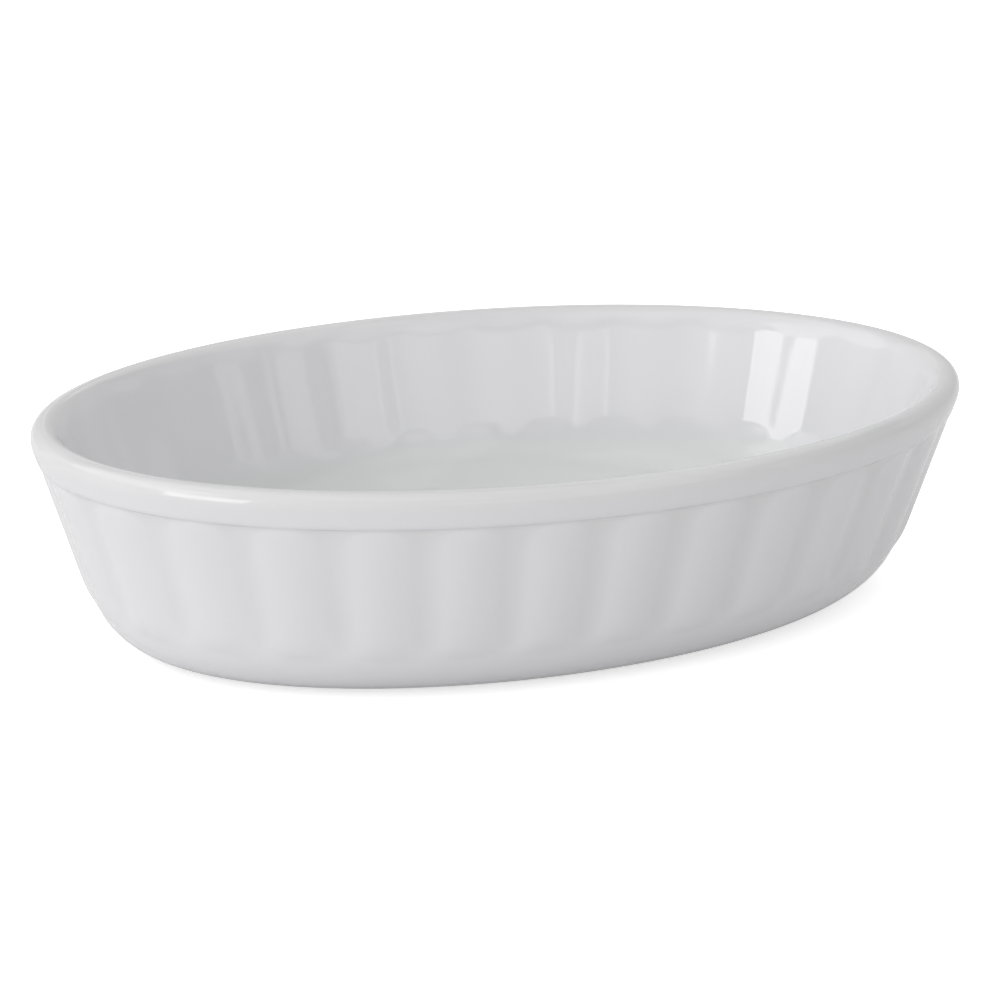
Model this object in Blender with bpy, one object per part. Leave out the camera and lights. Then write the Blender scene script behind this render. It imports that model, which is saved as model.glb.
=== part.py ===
"""An oval fluted dish for creme brulee, in metres, +Z up, standing on its foot at z = 0.

The dish is one fired piece of white glazed porcelain, so it is one closed body. The body is a
loft through ovals. Each oval has its own height and its own inset from the rim's outermost
edge. The row of ovals starts in the recess under the dish, goes out over the foot ring, up the
fluted outside, over the rim and down the fluted inside to the floor. Between its two ends each
flute swells the ovals of the wall outwards, outside as a lobe and inside as a channel.
"""

import math

import bmesh
import bpy
import numpy as np

# Overall size, over the rim
LENGTH = 0.1280
WIDTH = 0.0886
HEIGHT = 0.0290

# Wall
WALL_LEAN = math.radians(18.4)
WALL_THICKNESS = 0.0033

# Rim: a round bead over a band that overhangs the lobes
RIM_RADIUS = 0.0018
RIM_BAND_HEIGHT = 0.0047
RIM_OVERHANG = 0.0001
RIM_EDGE_RADIUS = 0.0006

# Flutes, as many outside as inside, and one behind the other
FLUTES = 30

# Lobes outside, broad and round with narrow grooves between them
LOBE_FULLNESS = 2.6
LOBE_RISE = 0.0006
LOBE_BOTTOM = 0.0062
LOBE_BOTTOM_ROUNDING = 0.0030
LOBE_TOP_ROUNDING = 0.0018
LOBE_RUN_IN = 0.00025

# Channels inside, shallow and wavy, with a rib between each two
CHANNEL_FULLNESS = 2.0
CHANNEL_DEPTH = 0.00026
PLAIN_UNDER_RIM = 0.0016
RIB_TOP_ROUNDING = 0.0010
CHANNEL_BOTTOM = 0.0132
CHANNEL_BOTTOM_ROUNDING = 0.0010

# Foot ring, recess under the dish, and the two big fillets
FOOT_RADIUS = 0.0101
FOOT_RING_WIDTH = 0.0030
RECESS_DEPTH = 0.0010
RECESS_SLOPE_WIDTH = 0.0010
FLOOR_THICKNESS = 0.0040
FLOOR_RADIUS = 0.0118

# Points round an oval, and steps along each curve of the section
PLAIN_POINTS_PER_FLUTE = 4
FLUTED_POINTS_PER_PLAIN_POINT = 2
POINTS_PER_FLUTE = PLAIN_POINTS_PER_FLUTE * FLUTED_POINTS_PER_PLAIN_POINT
END_STEPS = 3
FOOT_STEPS = 4
EDGE_STEPS = 2
BEAD_OUTER_STEPS = 3
BEAD_INNER_STEPS = 2
FLOOR_STEPS = 3

# Looks
GLAZE_COLOUR = (0.80, 0.80, 0.79, 1.0)
GLAZE_ROUGHNESS = 0.10
BISQUE_COLOUR = (0.72, 0.70, 0.66, 1.0)
BISQUE_ROUGHNESS = 0.75
SHARP_ANGLE = math.radians(50)

SLOPE = math.tan(WALL_LEAN)
LEVEL = 1 / math.cos(WALL_LEAN)
BEAD_HEIGHT = HEIGHT - RIM_RADIUS
BAND_BOTTOM = HEIGHT - RIM_BAND_HEIGHT
RIBS_START = HEIGHT - PLAIN_UNDER_RIM
FLOOR_TOP = RECESS_DEPTH + FLOOR_THICKNESS
QUARTER = math.pi / 2


def straight_wall(depth, height):
    """Inset at a height of a flat face that leans with the wall, so deep behind the rim band."""
    band = SLOPE * (BEAD_HEIGHT - height) + RIM_RADIUS * (1 - LEVEL)
    return band + depth * LEVEL


def filleted_wall(depth, height, base, radius):
    """Inset of such a face where a fillet of this radius turns it level at the base height."""
    fillet_top = base + radius * (1 - math.sin(WALL_LEAN))
    if height >= fillet_top:
        return straight_wall(depth, height)
    level_at = straight_wall(depth, fillet_top) + radius * math.cos(WALL_LEAN)
    below_centre = base + radius - height
    return level_at - math.sqrt(max(radius**2 - below_centre**2, 0.0))


def outside(height):
    """Inset of the outside at the bottom of its grooves."""
    return filleted_wall(RIM_OVERHANG + LOBE_RISE, height, 0.0, FOOT_RADIUS)


def inside(height):
    """Inset of the inside at the crest of its ribs."""
    depth = RIM_OVERHANG + LOBE_RISE + WALL_THICKNESS
    return filleted_wall(depth, height, FLOOR_TOP, FLOOR_RADIUS)


def rounded_end(end, rounding):
    """Heights and shares of a swelling that rises from nothing at its end, on a quarter ellipse."""
    angles = [QUARTER * step / END_STEPS for step in range(1, END_STEPS + 1)]
    return [(end + rounding * (1 - math.cos(a)), math.sin(a)) for a in angles]


def underside_sections():
    foot_edge = outside(0.0)
    ring_edge = foot_edge + FOOT_RING_WIDTH
    return [
        (ring_edge + RECESS_SLOPE_WIDTH, RECESS_DEPTH, 0.0),
        (ring_edge, 0.0, 0.0),
        (foot_edge, 0.0, 0.0),
    ]


def foot_sections():
    """Rings of the plain foot, up to the height where the lobes begin."""
    last = math.acos(1 - LOBE_BOTTOM / FOOT_RADIUS)
    angles = [last * step / FOOT_STEPS for step in range(1, FOOT_STEPS + 1)]
    heights = [FOOT_RADIUS * (1 - math.cos(a)) for a in angles]
    return [(outside(z), z, 0.0) for z in heights]


def lobe_sections():
    """Rings of the lobed wall. The lobes run in a little way behind the band before they end."""
    rise = LOBE_RISE * LEVEL
    rows = rounded_end(LOBE_BOTTOM, LOBE_BOTTOM_ROUNDING)
    top = rounded_end(BAND_BOTTOM + LOBE_RUN_IN, -LOBE_TOP_ROUNDING)
    rows += [(z, share) for z, share in reversed(top) if z < BAND_BOTTOM - LOBE_RUN_IN]
    hidden = 1 - LOBE_RUN_IN / LOBE_TOP_ROUNDING
    rows.append((BAND_BOTTOM, math.sqrt(1 - hidden**2)))
    return [(outside(z), z, rise * share) for z, share in rows]


def rim_sections():
    """Rings of the band's lower edge and of the bead, up to the plain zone inside the rim."""
    bead_foot = BEAD_HEIGHT - RIM_RADIUS * math.sin(WALL_LEAN)
    edge_radius = min(RIM_EDGE_RADIUS, bead_foot - BAND_BOTTOM)
    face = straight_wall(0.0, BAND_BOTTOM + edge_radius)
    rows = []
    for step in range(EDGE_STEPS + 1):
        a = QUARTER * step / EDGE_STEPS
        back = edge_radius * (1 - math.sin(a))
        rows.append((face + back, BAND_BOTTOM + edge_radius * (1 - math.cos(a)), 0.0))
    # The bead ends where a straight line to the first ring of the ribs touches it.
    below = RIBS_START - BEAD_HEIGHT
    inward = channel_inset(RIBS_START) - RIM_RADIUS
    touch = math.atan2(below, inward)
    touch += math.acos(min(1.0, RIM_RADIUS / math.hypot(below, inward)))
    angles = [-WALL_LEAN]
    angles += [QUARTER * step / BEAD_OUTER_STEPS for step in range(BEAD_OUTER_STEPS)]
    inner_sweep = QUARTER - touch
    angles += [QUARTER + inner_sweep * step / BEAD_INNER_STEPS for step in range(BEAD_INNER_STEPS + 1)]
    for a in angles:
        rows.append((RIM_RADIUS * (1 - math.cos(a)), BEAD_HEIGHT + RIM_RADIUS * math.sin(a), 0.0))
    return rows


def channel_inset(height):
    return inside(height) - CHANNEL_DEPTH * LEVEL


def channel_sections():
    """Rings of the fluted inside. Ribs rise out of the plain zone, and channels end in a ledge."""
    depth = CHANNEL_DEPTH * LEVEL
    rows = [(channel_inset(RIBS_START), RIBS_START, 0.0)]
    for z, share in rounded_end(RIBS_START, -RIB_TOP_ROUNDING):
        rows.append((channel_inset(z) + depth * share, z, depth * share))
    for z, share in reversed(rounded_end(CHANNEL_BOTTOM, CHANNEL_BOTTOM_ROUNDING)):
        rows.append((inside(z), z, depth * share))
    rows.append((inside(CHANNEL_BOTTOM), CHANNEL_BOTTOM, 0.0))
    return rows


def floor_sections():
    """Rings of the fillet between wall and floor, below the channels' ends, and the floor's edge."""
    start = QUARTER - WALL_LEAN
    angles = [start * step / FLOOR_STEPS for step in range(FLOOR_STEPS, -1, -1)]
    heights = [FLOOR_TOP + FLOOR_RADIUS * (1 - math.cos(a)) for a in angles]
    return [(inside(z), z, 0.0) for z in heights if z < CHANNEL_BOTTOM]


def even_angles(count):
    """Angles that space this many points evenly along the wall's oval at half height."""
    inset = outside(HEIGHT / 2)
    fine = np.linspace(0.0, 2 * math.pi, 100 * count + 1)
    x = (LENGTH / 2 - inset) * np.cos(fine)
    y = (WIDTH / 2 - inset) * np.sin(fine)
    travelled = np.concatenate(([0.0], np.cumsum(np.hypot(np.diff(x), np.diff(y)))))
    return np.interp(np.arange(count) * travelled[-1] / count, travelled, fine)


def flute_shape(turn, fullness):
    """1 on the crest of a lobe and 0 in a groove, where turn counts flutes from a crest."""
    return 1 - abs(math.sin(math.pi * turn)) ** fullness


def add_ring(bm, section, angles, fullness):
    """Adds one oval of points. A plain oval takes only some of the angles."""
    inset, height, swell = section
    step = 1 if swell else FLUTED_POINTS_PER_PLAIN_POINT
    ring = []
    for index in range(0, len(angles), step):
        out = swell * flute_shape(index / POINTS_PER_FLUTE, fullness) - inset
        x = (LENGTH / 2 + out) * math.cos(angles[index])
        y = (WIDTH / 2 + out) * math.sin(angles[index])
        ring.append(bm.verts.new((x, y, height)))
    return ring


def join_rings(bm, first, second):
    """Joins two rings with faces. Where one has more points, they fan out from the other's."""
    few, many = sorted((first, second), key=len)
    ratio = len(many) // len(few)
    for index in range(len(few)):
        here = few[index]
        after = few[(index + 1) % len(few)]
        run = [many[(index * ratio + k) % len(many)] for k in range(ratio + 1)]
        if ratio == 1:
            bm.faces.new((here, after, run[1], run[0]))
            continue
        middle = ratio // 2
        for k in range(ratio):
            bm.faces.new((here if k < middle else after, run[k + 1], run[k]))
        bm.faces.new((here, after, run[middle]))


def porcelain_material(name, colour, roughness, coat):
    material = bpy.data.materials.new(name)
    material.use_nodes = True
    shader = material.node_tree.nodes["Principled BSDF"]
    shader.inputs["Base Color"].default_value = colour
    shader.inputs["Roughness"].default_value = roughness
    shader.inputs["Metallic"].default_value = 0.0
    shader.inputs["Coat Weight"].default_value = coat
    material.diffuse_color = colour
    return material


def build_dish(collection):
    outer = underside_sections() + foot_sections() + lobe_sections() + rim_sections()
    inner = channel_sections() + floor_sections()
    angles = even_angles(FLUTES * POINTS_PER_FLUTE)

    bm = bmesh.new()
    rings = [add_ring(bm, section, angles, LOBE_FULLNESS) for section in outer]
    rings += [add_ring(bm, section, angles, CHANNEL_FULLNESS) for section in inner]
    bm.faces.new(rings[0])
    for first, second in zip(rings, rings[1:]):
        join_rings(bm, first, second)
    bm.faces.new(rings[-1])
    bmesh.ops.recalc_face_normals(bm, faces=bm.faces)

    # The foot ring is wiped clean of glaze, so its flat faces take the second material.
    ring_edges = set(rings[1]) | set(rings[2])
    for face in bm.faces:
        face.material_index = int(ring_edges.issuperset(face.verts))

    mesh = bpy.data.meshes.new("dish")
    bm.to_mesh(mesh)
    bm.free()
    mesh.materials.append(porcelain_material("white_glaze", GLAZE_COLOUR, GLAZE_ROUGHNESS, 0.5))
    mesh.materials.append(porcelain_material("bare_foot", BISQUE_COLOUR, BISQUE_ROUGHNESS, 0.0))
    mesh.shade_smooth()
    mesh.set_sharp_from_angle(angle=SHARP_ANGLE)
    collection.objects.link(bpy.data.objects.new("dish", mesh))


def main():
    for old in list(bpy.data.objects):
        bpy.data.objects.remove(old, do_unlink=True)
    collection = bpy.data.collections.new("creme_brulee_dish")
    bpy.context.scene.collection.children.link(collection)
    build_dish(collection)


main()
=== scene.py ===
"""Looks of the creme brulee dish: one piece of white porcelain under a clear, glossy glaze.

The dish is made again as a fine mesh that has the CAD solid's overall size. It is a loft through
ovals, from the middle of the recess underneath, out over the foot ring, up the fluted outside,
over the rim and down the fluted inside to the middle of the floor. The glaze then softens every
edge and lies a little thicker in the hollows. From that the material paints shade into the outer
grooves and onto the rim, and tints the bowl greener, partly for its glaze and partly as painted
reflected light.
"""

import math

import bpy
import numpy as np
from mathutils import Matrix, Vector


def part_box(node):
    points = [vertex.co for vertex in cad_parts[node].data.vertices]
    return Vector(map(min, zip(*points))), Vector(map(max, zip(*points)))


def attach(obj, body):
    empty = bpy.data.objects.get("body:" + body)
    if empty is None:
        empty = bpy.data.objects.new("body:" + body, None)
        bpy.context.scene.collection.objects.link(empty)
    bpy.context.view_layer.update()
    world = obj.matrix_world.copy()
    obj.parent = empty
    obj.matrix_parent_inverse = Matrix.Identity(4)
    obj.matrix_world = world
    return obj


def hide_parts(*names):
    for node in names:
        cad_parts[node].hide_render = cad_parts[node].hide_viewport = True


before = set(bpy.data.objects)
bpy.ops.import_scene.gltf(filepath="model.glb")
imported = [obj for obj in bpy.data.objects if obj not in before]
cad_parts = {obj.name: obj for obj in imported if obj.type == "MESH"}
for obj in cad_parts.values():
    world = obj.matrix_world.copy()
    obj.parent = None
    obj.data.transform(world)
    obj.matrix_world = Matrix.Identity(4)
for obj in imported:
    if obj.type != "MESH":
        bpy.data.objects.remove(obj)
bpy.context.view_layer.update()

# Overall size over the rim, as the CAD model has it
LOW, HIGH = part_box("dish")
LENGTH, WIDTH, HEIGHT = HIGH - LOW

# Wall, in metres as all lengths here
WALL_LEAN = math.radians(18.4)
WALL_THICKNESS = 0.0033

# Rim: a round bead over a band that overhangs the lobes
RIM_RADIUS = 0.0018
RIM_BAND_HEIGHT = 0.0047
RIM_OVERHANG = 0.0001
RIM_EDGE_RADIUS = 0.0006

# Flutes, as many outside as inside, and one behind the other
FLUTES = 30

# Lobes outside, broad and round with narrow grooves between them
LOBE_FULLNESS = 2.6
LOBE_RISE = 0.0006
LOBE_BOTTOM = 0.0062
LOBE_BOTTOM_ROUNDING = 0.0030
LOBE_TOP_ROUNDING = 0.0018
LOBE_RUN_IN = 0.00025

# Channels inside, shallow and wavy, with a rib between each two
CHANNEL_FULLNESS = 2.0
CHANNEL_DEPTH = 0.00026
PLAIN_UNDER_RIM = 0.0016
RIB_TOP_ROUNDING = 0.0010
CHANNEL_BOTTOM = 0.0132
CHANNEL_BOTTOM_ROUNDING = 0.0010

# Foot ring, recess under the dish, and the two big fillets
FOOT_RADIUS = 0.0101
FOOT_RING_WIDTH = 0.0030
RECESS_DEPTH = 0.0010
RECESS_SLOPE_WIDTH = 0.0010
FLOOR_THICKNESS = 0.0040
FLOOR_RADIUS = 0.0118

# Fineness of the mesh, and how often it is smoothed
POINTS_PER_FLUTE = 24
RING_SPACING = 0.0004
RIM_EDGE_STEPS = 4
CENTRE_RINGS = 36
FINE_STEPS_PER_POINT = 100
SHORTEST_NORMAL = 1e-12
GLAZE_SMOOTHING_PASSES = 3
MORE_OUTSIDE_PASSES = 3
POOLING_PASSES = 50

# Glaze colours: where it lies even, in faint clouds, painted shade in the outer grooves, greener in
# the bowl (partly its glaze, partly painted reflected light), painted shade on the rim
GLAZE_COLOUR = (0.804, 0.794, 0.816, 1.0)
CLOUDED_COLOUR = (0.789, 0.781, 0.799, 1.0)
GROOVE_SHADE_COLOUR = (0.764, 0.754, 0.775, 1.0)
POOLED_GLAZE_AND_REFLECTION_COLOUR = (0.775, 0.793, 0.786, 1.0)
BULGE_SHADE_COLOUR = (0.760, 0.757, 0.764, 1.0)

# Depths, below zero on a bulge, at which those colours are in full, and where the painted shade on
# bulges starts
GROOVE_SHADE_DEPTH = 0.0001
DEEP_GLAZE = 0.0004
BULGE_SHADE_FULL = -0.00045
BULGE_SHADE_START = -0.00015

# How much deeper it lies on the bowl's floor than the hollow alone would hold, which spreads the
# bowl's greener tint, partly glaze and partly painted reflected light, over the floor
POOL_DEPTH = 0.0004

# Glaze surface: how it mirrors, and the size and rise of its unevenness
GLAZE_IOR = 1.52
GLAZE_ROUGHNESS = (0.05, 0.10)
CLOUDING = 0.012
GLAZE_WAVE = 0.010
GLAZE_WAVE_RISE = 0.00006
GLAZE_PEEL = 0.0022
GLAZE_PEEL_RISE = 0.000003

# Bare porcelain of the foot ring
BARE_FOOT_HEIGHT = 0.00003
BISQUE_COLOUR = (0.70, 0.68, 0.64, 1.0)
BISQUE_DARK = (0.62, 0.60, 0.56, 1.0)
BISQUE_ROUGHNESS = 0.8
BISQUE_GRAIN = 0.0004
BISQUE_GRAIN_DETAIL = 4.0
BISQUE_GRAIN_RISE = 0.00002

# Values that follow from those above
SLOPE = math.tan(WALL_LEAN)
LEVEL = 1 / math.cos(WALL_LEAN)
BEAD_HEIGHT = HEIGHT - RIM_RADIUS
BAND_BOTTOM = HEIGHT - RIM_BAND_HEIGHT
RIBS_START = HEIGHT - PLAIN_UNDER_RIM
FLOOR_TOP = RECESS_DEPTH + FLOOR_THICKNESS
QUARTER = math.pi / 2

# Camera, as fitted to the photograph's outline
CAMERA_AZIMUTH = math.radians(-29.70)
CAMERA_ELEVATION = math.radians(16.30)
CAMERA_DISTANCE = 0.4782
CAMERA_ROLL = 0.0107
CAMERA_LENS = 131.96
CAMERA_SHIFT = (-0.0084, -0.0033)

# Light from all around, and the pale floor with the glow that the camera and the glaze see on it
AMBIENT = 0.285
WHITE = (1.0, 1.0, 1.0, 1.0)
FLOOR_SIZE = 6.0
FLOOR_COLOUR = (0.80, 0.80, 0.80, 1.0)
FLOOR_ROUGHNESS = 0.9
FLOOR_GLOW = 0.62
FLOOR_GLOW_MIRRORED = 0.19

# Soft lamps around the dish: azimuth and elevation, as the camera's but in degrees, how wide and how
# high each looks from the dish, in degrees, and its brightness in watts for each square metre
LAMP_DISTANCE = 1.5
LAMPS = (
    ("window", -71.25, 12.5, (26.5, 25.0), 12.0),
    ("window_above", -72.0, 34.0, (34.0, 18.0), 1.2),
    ("left", -104.5, 13.0, (40.0, 26.0), 1.4),
    ("left_above", -112.0, 40.0, (60.0, 28.0), 4.0),
    ("far_left", -142.0, 14.0, (36.0, 28.0), 0.8),
    ("front_left", -35.0, 19.0, (46.0, 14.0), 2.4),
    ("front", 10.0, 19.0, (44.0, 14.0), 3.8),
    ("front_right", 36.75, 19.0, (9.5, 14.0), 2.6),
    ("side", 51.0, 15.0, (6.0, 14.0), 1.8),
    ("right", 66.0, 16.0, (46.0, 32.0), 0.6),
    ("far_right", 125.0, 16.0, (72.0, 32.0), 1.1),
    ("back", -175.0, 16.0, (48.0, 32.0), 1.2),
    ("upper_left", -120.0, 62.0, (60.0, 16.0), 1.0),
    ("upper_front", -30.0, 55.0, (110.0, 22.0), 1.0),
    ("upper_right", 80.0, 55.0, (110.0, 22.0), 1.7),
    ("top_left", -75.0, 76.0, (60.0, 22.0), 1.9),
    ("top_right", 105.0, 76.0, (60.0, 22.0), 1.2),
)


def steps(start, end, spacing=RING_SPACING):
    """Evenly spaced values from start up to but not including the end."""
    count = max(1, round(abs(end - start) / spacing))
    return [start + (end - start) * k / count for k in range(count)]


def straight_wall(depth, height):
    """Inset at a height of a flat face that leans with the wall, so deep behind the rim band."""
    band = SLOPE * (BEAD_HEIGHT - height) + RIM_RADIUS * (1 - LEVEL)
    return band + depth * LEVEL


def filleted_wall(depth, height, base, radius):
    """Inset of such a face where a fillet of this radius turns it level at the base height."""
    fillet_top = base + radius * (1 - math.sin(WALL_LEAN))
    if height >= fillet_top:
        return straight_wall(depth, height)
    level_at = straight_wall(depth, fillet_top) + radius * math.cos(WALL_LEAN)
    below_centre = base + radius - height
    return level_at - math.sqrt(max(radius**2 - below_centre**2, 0.0))


def outside(height):
    """Inset of the outside at the bottom of its grooves."""
    return filleted_wall(RIM_OVERHANG + LOBE_RISE, height, 0.0, FOOT_RADIUS)


def inside(height):
    """Inset of the inside at the crest of its ribs."""
    depth = RIM_OVERHANG + LOBE_RISE + WALL_THICKNESS
    return filleted_wall(depth, height, FLOOR_TOP, FLOOR_RADIUS)


def end_share(distance, rounding):
    """Share of a swelling's full rise at a distance from its end, on a quarter ellipse."""
    if distance <= 0:
        return 0.0
    return math.sqrt(1 - max(0.0, 1 - distance / rounding) ** 2)


def fillet_heights(radius, top, base=0.0):
    """Heights along a fillet that starts level at its base, up to the top, evenly spaced along it."""
    last = math.acos(1 - (top - base) / radius)
    return [base + radius * (1 - math.cos(a)) for a in steps(0.0, last, RING_SPACING / radius)]


def underside_rows():
    """The slope from the recess down to the foot ring, and the ring."""
    foot_edge = outside(0.0)
    ring_edge = foot_edge + FOOT_RING_WIDTH
    rows = []
    for k in steps(0.0, 1.0, RING_SPACING / RECESS_SLOPE_WIDTH):
        rise = RECESS_DEPTH * (1 + math.cos(math.pi * k)) / 2
        rows.append((ring_edge + RECESS_SLOPE_WIDTH * (1 - k), rise, 0.0))
    rows += [(inset, 0.0, 0.0) for inset in steps(ring_edge, foot_edge)]
    return rows


def outside_rows():
    """The plain foot and the lobed wall, up to the rim band's lower edge."""
    heights = fillet_heights(FOOT_RADIUS, LOBE_BOTTOM)
    heights += steps(LOBE_BOTTOM, BAND_BOTTOM) + [BAND_BOTTOM]
    rows = []
    for z in heights:
        share = end_share(z - LOBE_BOTTOM, LOBE_BOTTOM_ROUNDING)
        share *= end_share(BAND_BOTTOM + LOBE_RUN_IN - z, LOBE_TOP_ROUNDING)
        rows.append((outside(z), z, LOBE_RISE * LEVEL * share))
    return rows


def rim_rows():
    """The band's lower edge and the bead, up to the plain zone inside the rim."""
    face = straight_wall(0.0, BAND_BOTTOM + RIM_EDGE_RADIUS)
    rows = []
    for a in steps(0.0, QUARTER, QUARTER / RIM_EDGE_STEPS):
        back = RIM_EDGE_RADIUS * (1 - math.sin(a))
        rows.append((face + back, BAND_BOTTOM + RIM_EDGE_RADIUS * (1 - math.cos(a)), 0.0))
    bead_foot = BEAD_HEIGHT - RIM_RADIUS * math.sin(WALL_LEAN)
    rows += [(straight_wall(0.0, z), z, 0.0) for z in steps(BAND_BOTTOM + RIM_EDGE_RADIUS, bead_foot)]
    # The bead ends where a straight line to the top of the ribs touches it.
    below = RIBS_START - BEAD_HEIGHT
    inward = channel_inset(RIBS_START) - RIM_RADIUS
    touch = math.atan2(below, inward)
    touch += math.acos(min(1.0, RIM_RADIUS / math.hypot(below, inward)))
    for a in steps(-WALL_LEAN, math.pi - touch, RING_SPACING / RIM_RADIUS):
        rows.append((RIM_RADIUS * (1 - math.cos(a)), BEAD_HEIGHT + RIM_RADIUS * math.sin(a), 0.0))
    last_inset, last_height, plain = rows[-1]
    for k in steps(0.0, 1.0, RING_SPACING / (last_height - RIBS_START))[1:]:
        inset = last_inset + (channel_inset(RIBS_START) - last_inset) * k
        rows.append((inset, last_height + (RIBS_START - last_height) * k, plain))
    return rows


def channel_inset(height):
    """Inset of the inside at the bottom of its channels."""
    return inside(height) - CHANNEL_DEPTH * LEVEL


def inside_rows():
    """Ribs rise out of the plain zone under the rim, and the channels between them end in a ledge."""
    depth = CHANNEL_DEPTH * LEVEL
    rows = []
    for z in steps(RIBS_START, CHANNEL_BOTTOM):
        rib = end_share(RIBS_START - z, RIB_TOP_ROUNDING)
        channel = end_share(z - CHANNEL_BOTTOM, CHANNEL_BOTTOM_ROUNDING)
        rows.append((inside(z) - depth * (1 - rib), z, depth * rib * channel))
    heights = fillet_heights(FLOOR_RADIUS, CHANNEL_BOTTOM, FLOOR_TOP)
    rows += [(inside(z), z, 0.0) for z in reversed(heights)]
    return rows


def even_angles(count):
    """Angles that space this many points evenly along the wall's oval at half height."""
    inset = outside(HEIGHT / 2)
    fine = np.linspace(0.0, 2 * math.pi, FINE_STEPS_PER_POINT * count + 1)
    x = (LENGTH / 2 - inset) * np.cos(fine)
    y = (WIDTH / 2 - inset) * np.sin(fine)
    travelled = np.concatenate(([0.0], np.cumsum(np.hypot(np.diff(x), np.diff(y)))))
    return np.interp(np.arange(count) * travelled[-1] / count, travelled, fine)


def centre_rings(edge, spread):
    """Rings that shrink from an oval to near its middle, where one point closes them."""
    shares = [1 - k / CENTRE_RINGS for k in range(1, CENTRE_RINGS)]
    rings = [edge * (share, share, 1) for share in shares]
    return rings if spread else rings[::-1]


def loft(rows, fullness, angles):
    """Rings of points through rows of inset, height and swell, as rings by points by x, y, z."""
    rows = np.array(rows)
    inset, height, swell = rows[:, 0:1], rows[:, 1:2], rows[:, 2:3]
    turn = np.arange(len(angles)) / POINTS_PER_FLUTE
    out = swell * (1 - np.abs(np.sin(math.pi * turn)) ** fullness) - inset
    x = (LENGTH / 2 + out) * np.cos(angles)
    y = (WIDTH / 2 + out) * np.sin(angles)
    return np.stack([x, y, np.repeat(height, len(angles), axis=1)], axis=-1)


def dish_grid():
    """The dish's surface from the middle of the underside to that of the floor, in two arrays."""
    angles = even_angles(FLUTES * POINTS_PER_FLUTE)
    outer = loft(underside_rows() + outside_rows() + rim_rows(), LOBE_FULLNESS, angles)
    inner = loft(inside_rows(), CHANNEL_FULLNESS, angles)
    outer = np.array(centre_rings(outer[0], False) + list(outer))
    return outer, np.array(list(inner) + centre_rings(inner[-1], True))


def neighbours_mean(grid):
    """Mean of each point's four neighbours. The first and last rings have no ring beyond them."""
    above = np.concatenate([grid[1:], grid[-1:]])
    below = np.concatenate([grid[:1], grid[:-1]])
    return (above + below + np.roll(grid, 1, axis=1) + np.roll(grid, -1, axis=1)) / 4


def relax(grid, passes):
    """Moves each point halfway to the mean of its neighbours, this many times."""
    grid = grid.copy()
    for _ in range(passes):
        grid[1:-1] = (grid + neighbours_mean(grid))[1:-1] / 2
    return grid


def outward(grid):
    """Unit normals that point out of the porcelain."""
    along = np.roll(grid, -1, axis=1) - np.roll(grid, 1, axis=1)
    normals = np.cross(along, np.gradient(grid, axis=0))
    return normals / np.maximum(np.linalg.norm(normals, axis=-1, keepdims=True), SHORTEST_NORMAL)


def glaze_over(outer, inner):
    """Softens the edges as the glaze does, more outside than inside. Also returns how deep it lies.

    It lies deeper in the hollows, and deeper the lower on the bowl's floor, where it ran together.
    The last array is the share of painted shade in the hollows outside: the grooves and the corner
    under the rim band.
    """
    glazed = relax(np.concatenate([outer, inner]), GLAZE_SMOOTHING_PASSES)
    glazed[:len(outer)] = relax(glazed[:len(outer)], MORE_OUTSIDE_PASSES)
    filled = relax(glazed, POOLING_PASSES)
    depth = np.sum((filled - glazed) * outward(glazed), axis=-1)
    # Painted shade in the hollows outside: the grooves and the corner under the rim band.
    groove_shade = np.clip(depth / GROOVE_SHADE_DEPTH, 0, 1)
    groove_shade[len(outer):] = 0
    above_floor = (inner[..., 2] - FLOOR_TOP) / (CHANNEL_BOTTOM - FLOOR_TOP)
    # Deeper glaze over the bowl's floor. Its greener tint there is partly painted reflected light.
    depth[len(outer):] += POOL_DEPTH * np.sqrt(np.clip(1 - above_floor, 0, 1))
    return glazed, depth, groove_shade


def build_dish():
    """The glazed dish as one closed mesh that fills the CAD model's box."""
    grid, depth, groove_shade = glaze_over(*dish_grid())
    low, high = grid.min(axis=(0, 1)), grid.max(axis=(0, 1))
    grid = (grid - low) / (high - low) * (np.array(HIGH) - np.array(LOW)) + np.array(LOW)
    rings, count, _ = grid.shape
    points = [tuple(p) for p in grid.reshape(-1, 3)]
    underneath, floor = len(points), len(points) + 1
    points += [(0.0, 0.0, grid[0, 0, 2]), (0.0, 0.0, grid[-1, 0, 2])]
    faces = []
    for j in range(count):
        after = (j + 1) % count
        faces.append((underneath, after, j))
        last = (rings - 1) * count
        faces.append((floor, last + j, last + after))
        for i in range(rings - 1):
            here, above = i * count, (i + 1) * count
            faces.append((here + j, here + after, above + after, above + j))
    mesh = bpy.data.meshes.new("glazed_dish")
    mesh.from_pydata(points, [], faces)
    mesh.shade_smooth()
    # The hollow depth and the share of painted groove shade go onto the points, for the material.
    for name, values in (("glaze_depth", depth), ("painted_groove_shade", groove_shade)):
        held = mesh.attributes.new(name, "FLOAT", "POINT")
        middles = [values[0].mean(), values[-1].mean()]
        held.data.foreach_set("value", list(values.ravel()) + middles)
    for material in (glaze_material(), bare_foot_material()):
        mesh.materials.append(material)
    for face in mesh.polygons:
        face.material_index = int(all(points[v][2] < BARE_FOOT_HEIGHT for v in face.vertices))
    dish = bpy.data.objects.new("glazed_dish", mesh)
    bpy.context.collection.objects.link(dish)
    return dish


def noise(nodes, links, wavelength, detail=2.0):
    """A noise in object space whose bumps lie about this far apart. Returns its value."""
    place = nodes.new("ShaderNodeTexCoord")
    texture = nodes.new("ShaderNodeTexNoise")
    texture.inputs["Scale"].default_value = 1 / wavelength
    texture.inputs["Detail"].default_value = detail
    links.new(place.outputs["Object"], texture.inputs["Vector"])
    return texture.outputs["Fac"]


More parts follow.
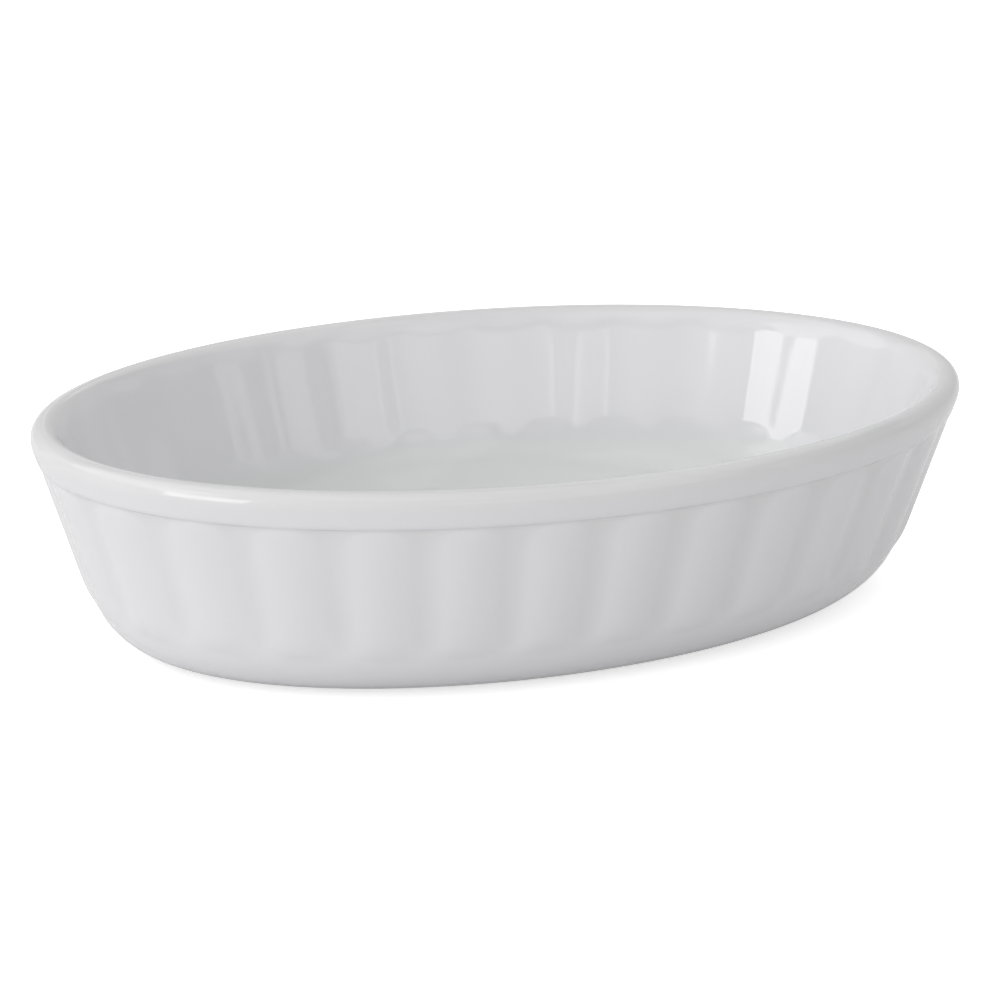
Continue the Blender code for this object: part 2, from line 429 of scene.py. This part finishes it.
def attribute(nodes, name):
    """The value that the mesh holds under this name."""
    node = nodes.new("ShaderNodeAttribute")
    node.attribute_name = name
    return node.outputs["Fac"]


def ranged(nodes, links, value, low, high, start=0.0, end=1.0):
    """Carries a value's range from start to end over to low to high."""
    carry = nodes.new("ShaderNodeMapRange")
    carry.inputs["From Min"].default_value = start
    carry.inputs["From Max"].default_value = end
    carry.inputs["To Min"].default_value = low
    carry.inputs["To Max"].default_value = high
    links.new(value, carry.inputs["Value"])
    return carry.outputs["Result"]


def blended(nodes, links, share, first, second):
    """A colour between two colours or colour outputs."""
    mix = nodes.new("ShaderNodeMix")
    mix.data_type = "RGBA"
    links.new(share, mix.inputs["Factor"])
    for socket, colour in ((mix.inputs["A"], first), (mix.inputs["B"], second)):
        if isinstance(colour, tuple):
            socket.default_value = colour
        else:
            links.new(colour, socket)
    return mix.outputs["Result"]


def bump(nodes, links, height, rise, below=None):
    """Lifts the surface by up to the rise, in metres, on top of a bump below."""
    lift = nodes.new("ShaderNodeBump")
    lift.inputs["Distance"].default_value = rise
    links.new(height, lift.inputs["Height"])
    if below:
        links.new(below, lift.inputs["Normal"])
    return lift.outputs["Normal"]


def new_material(name):
    """A material with its nodes, its links and its shader."""
    material = bpy.data.materials.new(name)
    material.use_nodes = True
    nodes, links = material.node_tree.nodes, material.node_tree.links
    return material, nodes, links, nodes["Principled BSDF"]


def glaze_material():
    """White porcelain under clear glaze, faintly wavy.

    It is greener where it pools, partly for its glaze and partly as painted reflected light, and has
    painted shade, greyer, in the outer grooves and on the rim.
    """
    material, nodes, links, shader = new_material("white_glaze")
    depth = attribute(nodes, "glaze_depth")
    # A greener tint in the bowl, partly its thicker glaze and partly painted reflected light.
    pooled_and_reflected = ranged(nodes, links, depth, 0.0, 1.0, 0.0, DEEP_GLAZE)
    # Painted shade, greyer, on the rim bead and other bulges.
    bulge_shade = ranged(nodes, links, depth, 1.0, 0.0, BULGE_SHADE_FULL, BULGE_SHADE_START)
    clouds = noise(nodes, links, CLOUDING)
    body = blended(nodes, links, clouds, GLAZE_COLOUR, CLOUDED_COLOUR)
    # Painted shade in the outer grooves and under the rim band.
    colour = blended(nodes, links, attribute(nodes, "painted_groove_shade"), body, GROOVE_SHADE_COLOUR)
    colour = blended(nodes, links, pooled_and_reflected, colour, POOLED_GLAZE_AND_REFLECTION_COLOUR)
    colour = blended(nodes, links, bulge_shade, colour, BULGE_SHADE_COLOUR)
    links.new(colour, shader.inputs["Base Color"])
    links.new(ranged(nodes, links, clouds, *GLAZE_ROUGHNESS), shader.inputs["Roughness"])
    shader.inputs["IOR"].default_value = GLAZE_IOR
    waves = bump(nodes, links, noise(nodes, links, GLAZE_WAVE, 0.0), GLAZE_WAVE_RISE)
    peel = bump(nodes, links, noise(nodes, links, GLAZE_PEEL, 0.0), GLAZE_PEEL_RISE, waves)
    links.new(peel, shader.inputs["Normal"])
    return material


def bare_foot_material():
    """The foot ring, wiped clean of glaze: matt, warmer porcelain with a fine grain."""
    material, nodes, links, shader = new_material("bare_foot")
    grain = noise(nodes, links, BISQUE_GRAIN, BISQUE_GRAIN_DETAIL)
    links.new(blended(nodes, links, grain, BISQUE_COLOUR, BISQUE_DARK), shader.inputs["Base Color"])
    shader.inputs["Roughness"].default_value = BISQUE_ROUGHNESS
    links.new(bump(nodes, links, grain, BISQUE_GRAIN_RISE), shader.inputs["Normal"])
    return material


def add_camera():
    """The camera at the photograph's place."""
    camera = bpy.data.objects.new("camera", bpy.data.cameras.new("camera"))
    bpy.context.collection.objects.link(camera)
    cos_az, sin_az = math.cos(CAMERA_AZIMUTH), math.sin(CAMERA_AZIMUTH)
    cos_el, sin_el = math.cos(CAMERA_ELEVATION), math.sin(CAMERA_ELEVATION)
    back = Vector((sin_az * cos_el, -cos_az * cos_el, sin_el))
    aim = Vector((0.0, 0.0, HEIGHT / 2))
    turn = (-back).to_track_quat("-Z", "Y").to_matrix().to_4x4()
    place = Matrix.Translation(aim + back * CAMERA_DISTANCE)
    camera.matrix_world = place @ turn @ Matrix.Rotation(CAMERA_ROLL, 4, "Z")
    camera.data.lens = CAMERA_LENS
    camera.data.shift_x, camera.data.shift_y = CAMERA_SHIFT
    bpy.context.scene.camera = camera


def add_lamp(name, azimuth, elevation, spread, brightness):
    """A soft lamp that shines at the dish, as the lamps' table says."""
    lamp = bpy.data.lights.new(name, "AREA")
    lamp.shape = "RECTANGLE"
    lamp.size, lamp.size_y = (2 * LAMP_DISTANCE * math.tan(math.radians(s) / 2) for s in spread)
    lamp.energy = brightness * lamp.size * lamp.size_y
    holder = bpy.data.objects.new(name, lamp)
    bpy.context.collection.objects.link(holder)
    az, el = math.radians(azimuth), math.radians(elevation)
    back = Vector((math.sin(az) * math.cos(el), -math.cos(az) * math.cos(el), math.sin(el)))
    holder.location = back * LAMP_DISTANCE
    holder.rotation_euler = (-back).to_track_quat("-Z", "Y").to_euler()


def add_floor():
    """A pale floor that looks nearly white to the camera and keeps the dish's shadow."""
    bpy.ops.mesh.primitive_plane_add(size=FLOOR_SIZE)
    floor = bpy.context.object
    floor.name = "floor"
    material, nodes, links, shader = new_material("floor")
    shader.inputs["Base Color"].default_value = FLOOR_COLOUR
    shader.inputs["Roughness"].default_value = FLOOR_ROUGHNESS
    shader.inputs["Emission Color"].default_value = WHITE
    path = nodes.new("ShaderNodeLightPath")
    mirrored = ranged(nodes, links, path.outputs["Is Glossy Ray"], 0.0, FLOOR_GLOW_MIRRORED)
    seen = ranged(nodes, links, path.outputs["Is Camera Ray"], 0.0, FLOOR_GLOW)
    strength = nodes.new("ShaderNodeMath")
    strength.operation = "MAXIMUM"
    links.new(mirrored, strength.inputs[0])
    links.new(seen, strength.inputs[1])
    links.new(strength.outputs[0], shader.inputs["Emission Strength"])
    floor.data.materials.append(material)


def add_world():
    """Even light from all sides, on a background that is white to the camera."""
    world = bpy.data.worlds.new("studio")
    bpy.context.scene.world = world
    world.use_nodes = True
    nodes, links = world.node_tree.nodes, world.node_tree.links
    background = nodes["Background"]
    background.inputs["Color"].default_value = WHITE
    path = nodes.new("ShaderNodeLightPath")
    strength = ranged(nodes, links, path.outputs["Is Camera Ray"], AMBIENT, 1.0)
    links.new(strength, background.inputs["Strength"])


bpy.context.scene.view_settings.view_transform = "Standard"
dish = build_dish()
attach(dish, "root")
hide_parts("dish")
add_floor()
add_world()
for lamp in LAMPS:
    add_lamp(*lamp)
add_camera()
